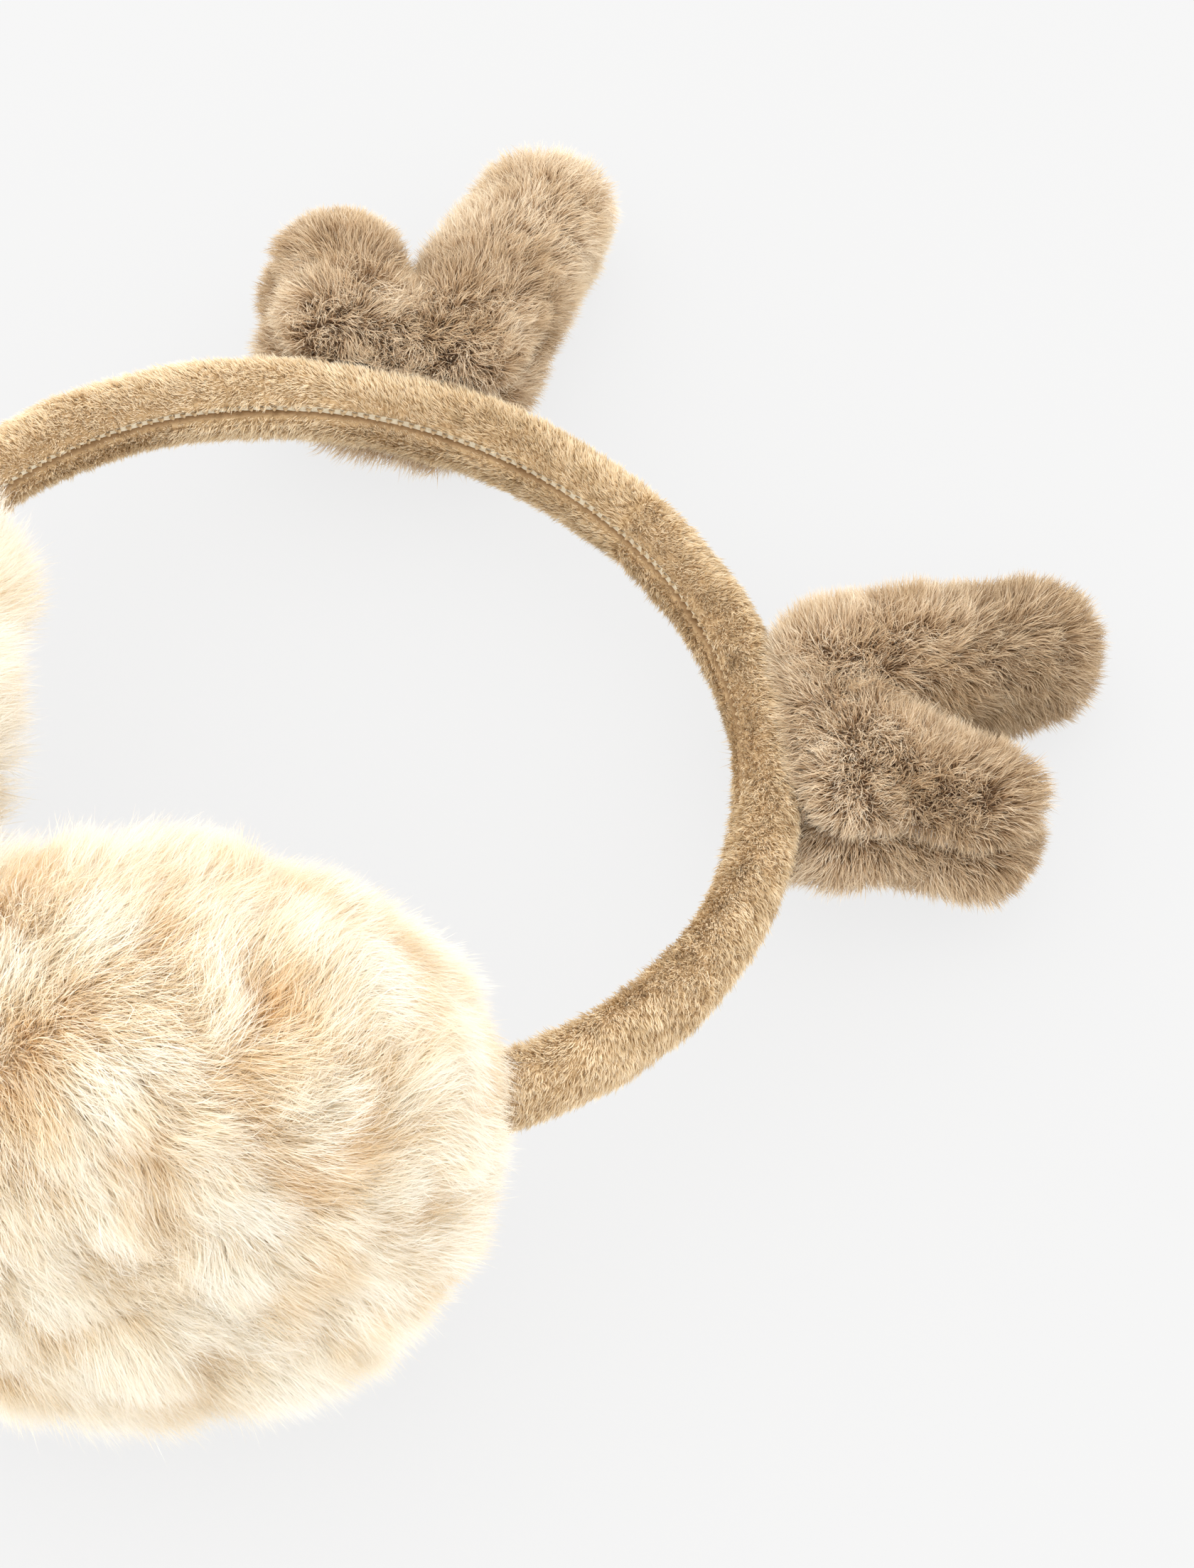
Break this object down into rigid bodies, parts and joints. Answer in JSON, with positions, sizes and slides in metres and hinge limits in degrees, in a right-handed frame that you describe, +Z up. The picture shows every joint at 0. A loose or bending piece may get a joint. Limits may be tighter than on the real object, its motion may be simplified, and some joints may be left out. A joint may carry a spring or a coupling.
{
  "type": "antler earmuffs",
  "caption": "Plush headband earmuffs with fur ear pads on a sprung, velour-sleeved band and stuffed reindeer-style antlers sewn to its crown.",
  "frame": {"origin": "centre of the footprint on the table, with the part lying on its side on its ear muffs and antlers", "axes": "+Z up from the table; +Y from the ear muffs towards the crown; +X towards the wearer's right-hand muff seen with the crown away from the viewer. The arch's plane dips 12 degrees from the muffs to the crown."},
  "size_m": [0.1924, 0.2598, 0.1107],
  "materials": {
    "velour": "matte",
    "thread": "matte",
    "foam": "matte",
    "strip_plastic": "satin",
    "frame_plastic": "satin",
    "pin_steel": "polished",
    "cream_fur": "matte",
    "cream_plush": "matte",
    "elastic": "matte",
    "taupe_fur": "matte",
    "antler_thread": "matte",
    "fibrefill": "matte",
    "felt": "matte"
  },
  "bodies": {
    "crown": {"spring_strip_crown": "strip_plastic", "foam_wrap_crown": "foam", "plush_sleeve_crown": "velour", "sleeve_seam_thread_crown": "thread", "antler_base_patch_right": "felt", "antler_base_patch_left": "felt"},
    "arm_right": {"spring_strip_arm_right": "strip_plastic", "foam_wrap_arm_right": "foam", "plush_sleeve_arm_right": "velour", "sleeve_seam_thread_arm_right": "thread", "strip_yoke_right": "frame_plastic", "pivot_pin_right": "pin_steel", "pin_cap_right": "frame_plastic"},
    "muff_right": {"muff_backing_disc_right": "frame_plastic", "muff_clip_ring_right": "frame_plastic", "muff_ear_foam_right": "foam", "muff_ear_cover_right": "cream_plush", "muff_fibrefill_right": "fibrefill", "muff_fur_cover_right": "cream_fur", "muff_gather_elastic_right": "elastic"},
    "antler_right": {"antler_upper_panel_right": "taupe_fur", "antler_lower_panel_right": "taupe_fur", "antler_seam_right": "antler_thread", "antler_stuffing_right": "fibrefill"},
    "arm_left": {"spring_strip_arm_left": "strip_plastic", "foam_wrap_arm_left": "foam", "plush_sleeve_arm_left": "velour", "sleeve_seam_thread_arm_left": "thread", "strip_yoke_left": "frame_plastic", "pivot_pin_left": "pin_steel", "pin_cap_left": "frame_plastic"},
    "muff_left": {"muff_backing_disc_left": "frame_plastic", "muff_clip_ring_left": "frame_plastic", "muff_ear_foam_left": "foam", "muff_ear_cover_left": "cream_plush", "muff_fibrefill_left": "fibrefill", "muff_fur_cover_left": "cream_fur", "muff_gather_elastic_left": "elastic"},
    "antler_left": {"antler_upper_panel_left": "taupe_fur", "antler_lower_panel_left": "taupe_fur", "antler_seam_left": "antler_thread", "antler_stuffing_left": "fibrefill"}
  },
  "joints": [
    {"name": "arm_flex_right", "type": "hinge", "parent": "crown", "child": "arm_right", "pos_m": [0.07682, 0.04279, 0.02936], "axis": [0, 0.2086, 0.978], "range_deg": [0, 22], "stiffness_Nm_per_rad": 0.8},
    {"name": "arm_flex_left", "type": "hinge", "parent": "crown", "child": "arm_left", "pos_m": [-0.07682, 0.04279, 0.02936], "axis": [0, 0.2086, 0.978], "range_deg": [-22, 0], "stiffness_Nm_per_rad": 0.8},
    {"name": "muff_swivel_right", "type": "hinge", "parent": "arm_right", "child": "muff_right", "pos_m": [0.07152, -0.04269, 0.0476], "axis": [0, 0.2086, 0.978], "range_deg": [0, 20], "stiffness_Nm_per_rad": 0.08},
    {"name": "muff_swivel_left", "type": "hinge", "parent": "arm_left", "child": "muff_left", "pos_m": [-0.07152, -0.04269, 0.0476], "axis": [0, 0.2086, 0.978], "range_deg": [-20, 0], "stiffness_Nm_per_rad": 0.08},
    {"name": "antler_flop_right", "type": "hinge", "parent": "crown", "child": "antler_right", "pos_m": [0.05142, 0.06264, 0.02513], "axis": [0.7826, -0.6088, 0.1299], "range_deg": [-15, 15], "stiffness_Nm_per_rad": 0.06},
    {"name": "antler_flop_left", "type": "hinge", "parent": "crown", "child": "antler_left", "pos_m": [-0.05142, 0.06264, 0.02513], "axis": [0.7826, 0.6088, -0.1299], "range_deg": [-15, 15], "stiffness_Nm_per_rad": 0.06}
  ],
  "couplings": [
    {"joint": "arm_flex_left", "follows": "arm_flex_right", "ratio": -1}
  ]
}
